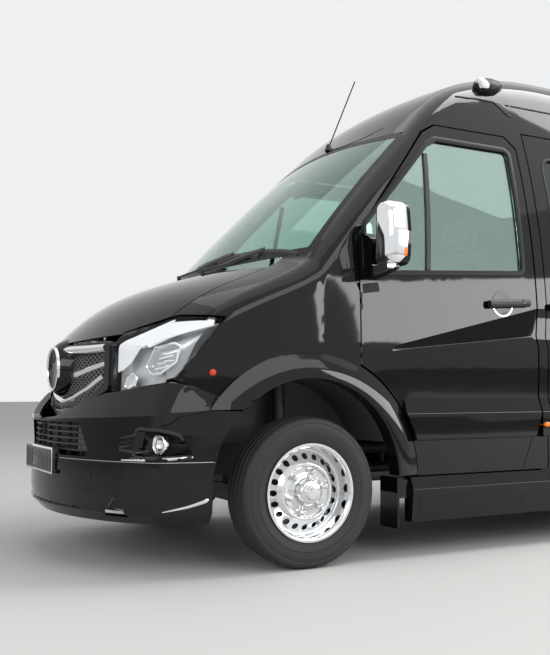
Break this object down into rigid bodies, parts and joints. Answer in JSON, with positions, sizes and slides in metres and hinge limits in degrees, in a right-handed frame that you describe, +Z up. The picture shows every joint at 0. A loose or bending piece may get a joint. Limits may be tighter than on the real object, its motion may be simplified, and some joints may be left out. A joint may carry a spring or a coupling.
{
  "type": "high-roof minibus",
  "caption": "Black high-roof minibus with hinged cab and rear doors, lifting bonnet, steered front wheels, twin rear wheels and a seated saloon.",
  "frame": {"origin": "middle of the vehicle's length and width, on the ground", "axes": "-Y points to the vehicle's front, +X to its left, +Z up; the vehicle stands on its wheels"},
  "size_m": [2.4012, 6.9888, 2.7899],
  "materials": {
    "black_plastic": "satin",
    "cab_plastic": "matt",
    "cast_metal": "rough",
    "chrome": "polished",
    "dark_steel": "satin",
    "floor": "matt",
    "gloss_black": "gloss",
    "lamp_glass": "clear",
    "paint": "gloss",
    "red_lamp": "gloss",
    "screen_glass": "clear",
    "seat_fabric": "woven",
    "side_glass": "tinted",
    "tank_plastic": "matt",
    "tyre": "matt",
    "wheel_metal": "polished"
  },
  "bodies": {
    "vehicle_body": {"aerial": "black_plastic", "body_side_left": "paint", "body_side_right": "paint", "cab_frame": "paint", "cab_seats": "seat_fabric", "cowl": "black_plastic", "dashboard": "cab_plastic", "door_hinges": "dark_steel", "driveline": "dark_steel", "engine": "cast_metal", "exhaust": "dark_steel", "firewall": "floor", "fog_lamps": "lamp_glass", "front_axle": "dark_steel", "front_bumper": "paint", "fuel_tank": "tank_plastic", "grille": "gloss_black", "grille_bars": "chrome", "grille_mesh": "black_plastic", "headlamps": "lamp_glass", "radiator": "cast_metal", "rear_axle": "dark_steel", "rear_bumper": "black_plastic", "rear_hinges": "dark_steel", "roof_cap": "gloss_black", "roof_panel": "paint", "saloon_glass": "side_glass", "saloon_seats": "seat_fabric", "side_skirts": "paint", "sliding_door": "paint", "steering_wheel": "cab_plastic", "tail_lamps": "red_lamp", "underbody": "floor", "wheelhouses": "floor", "windscreen": "screen_glass", "wing_left": "paint", "wing_right": "paint"},
    "cab_door_left": {"cab_door_left": "paint", "door_glass_left": "side_glass", "mirror_left": "gloss_black"},
    "cab_door_right": {"cab_door_right": "paint", "door_glass_right": "side_glass", "mirror_right": "gloss_black"},
    "rear_door_left": {"rear_door_left": "paint", "rear_glass_left": "side_glass"},
    "rear_door_right": {"rear_door_right": "paint", "rear_glass_right": "side_glass"},
    "bonnet": {"bonnet": "paint"},
    "steering_knuckle_left": {"knuckle_left": "dark_steel"},
    "steering_knuckle_right": {"knuckle_right": "dark_steel"},
    "front_wheel_left": {"tyre_front_left": "tyre", "rim_front_left": "wheel_metal"},
    "front_wheel_right": {"tyre_front_right": "tyre", "rim_front_right": "wheel_metal"},
    "rear_wheels_left": {"tyres_rear_left": "tyre", "rim_rear_left": "wheel_metal"},
    "rear_wheels_right": {"tyres_rear_right": "tyre", "rim_rear_right": "wheel_metal"}
  },
  "joints": [
    {"name": "steer_left", "type": "hinge", "parent": "vehicle_body", "child": "steering_knuckle_left", "pos_m": [0.79, -2.4425, 0.357], "axis": [0, 0, 1], "range_deg": [-35, 35]},
    {"name": "steer_right", "type": "hinge", "parent": "vehicle_body", "child": "steering_knuckle_right", "pos_m": [-0.79, -2.4425, 0.357], "axis": [0, 0, 1], "range_deg": [-35, 35]},
    {"name": "front_left_spin", "type": "hinge", "parent": "steering_knuckle_left", "child": "front_wheel_left", "pos_m": [0.872, -2.4425, 0.357], "axis": [1, 0, 0], "continuous": true},
    {"name": "front_right_spin", "type": "hinge", "parent": "steering_knuckle_right", "child": "front_wheel_right", "pos_m": [-0.872, -2.4425, 0.357], "axis": [1, 0, 0], "continuous": true},
    {"name": "rear_left_spin", "type": "hinge", "parent": "vehicle_body", "child": "rear_wheels_left", "pos_m": [0.749, 1.8825, 0.357], "axis": [1, 0, 0], "continuous": true},
    {"name": "rear_right_spin", "type": "hinge", "parent": "vehicle_body", "child": "rear_wheels_right", "pos_m": [-0.749, 1.8825, 0.357], "axis": [1, 0, 0], "continuous": true},
    {"name": "cab_door_left_swing", "type": "hinge", "parent": "vehicle_body", "child": "cab_door_left", "pos_m": [0.962, -2.152, 1.1], "axis": [0, 0, -1], "range_deg": [0, 70]},
    {"name": "cab_door_right_swing", "type": "hinge", "parent": "vehicle_body", "child": "cab_door_right", "pos_m": [-0.962, -2.152, 1.1], "axis": [0, 0, 1], "range_deg": [0, 70]},
    {"name": "bonnet_lift", "type": "hinge", "parent": "vehicle_body", "child": "bonnet", "pos_m": [0, -2.55449, 1.466], "axis": [-1, 0, 0], "range_deg": [0, 48]},
    {"name": "rear_door_left_swing", "type": "hinge", "parent": "vehicle_body", "child": "rear_door_left", "pos_m": [0.862, 3.4295, 1.5], "axis": [0, 0, -1], "range_deg": [0, 180]},
    {"name": "rear_door_right_swing", "type": "hinge", "parent": "vehicle_body", "child": "rear_door_right", "pos_m": [-0.862, 3.4295, 1.5], "axis": [0, 0, 1], "range_deg": [0, 180]}
  ],
  "couplings": [
    {"joint": "steer_right", "follows": "steer_left", "ratio": 1}
  ]
}
